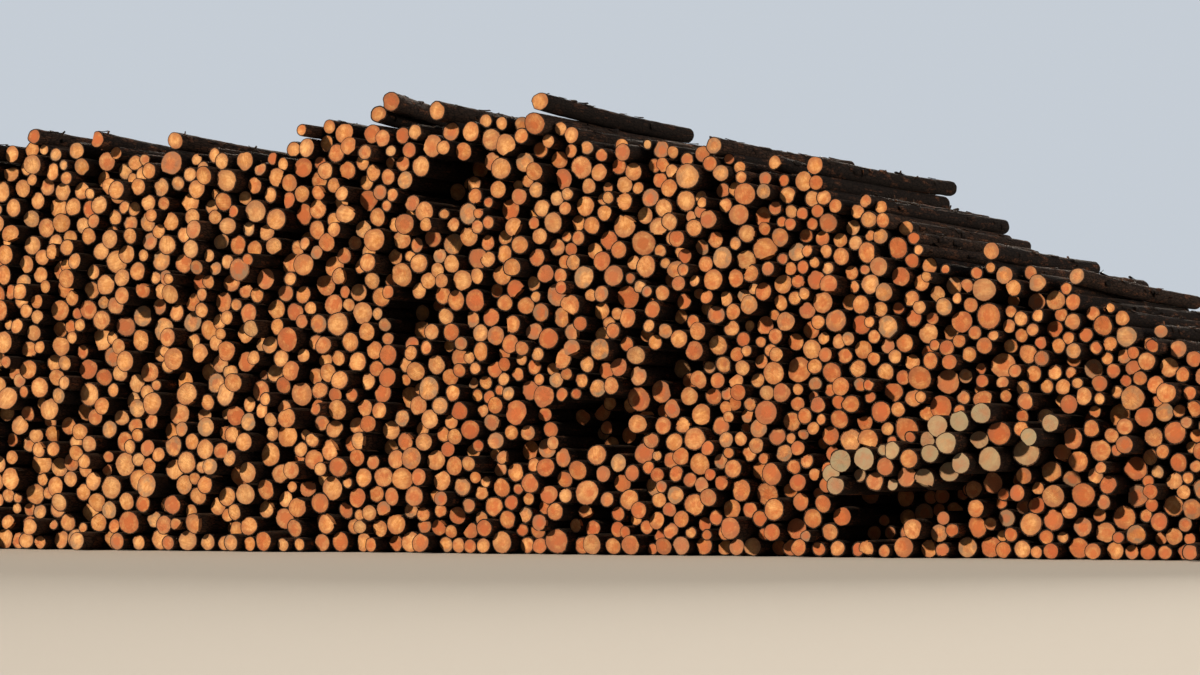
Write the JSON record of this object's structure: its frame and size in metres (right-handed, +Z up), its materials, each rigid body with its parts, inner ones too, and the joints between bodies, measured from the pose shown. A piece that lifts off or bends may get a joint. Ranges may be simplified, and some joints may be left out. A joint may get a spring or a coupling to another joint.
{
  "type": "stack of logs",
  "caption": "Long outdoor stack of round pine logs lying side by side, sawn ends in a staggered face, with a grey weathered batch and loose logs on top.",
  "frame": {"origin": "centre of the ground that the stack covers: the middle of its bounding box in X and Y, on the floor in Z", "axes": "+X along the stack's long face, from its steep end to its long slope; +Y along the logs, away from the staggered front ends; +Z up"},
  "size_m": [28.3226, 6.3438, 7.0824],
  "materials": {
    "pine_log": "rough sawn ends, furrowed bark",
    "weathered_log": "weathered grey sawn ends"
  },
  "bodies": {
    "root": {"tier_01": "pine_log", "tier_02": "pine_log", "tier_03": "pine_log", "tier_04": "pine_log", "tier_05": "pine_log", "tier_06": "pine_log", "tier_07": "pine_log", "tier_08": "pine_log", "tier_09": "pine_log", "tier_10": "pine_log", "tier_11": "pine_log", "tier_12": "pine_log", "tier_13": "pine_log", "tier_14": "pine_log", "tier_15": "pine_log", "tier_16": "pine_log", "tier_17": "pine_log", "tier_18": "pine_log", "tier_19": "pine_log", "tier_20": "pine_log", "tier_21": "pine_log", "tier_22": "pine_log", "tier_23": "pine_log", "tier_24": "pine_log", "top_logs": "pine_log", "weathered_batch": "weathered_log"}
  },
  "joints": []
}
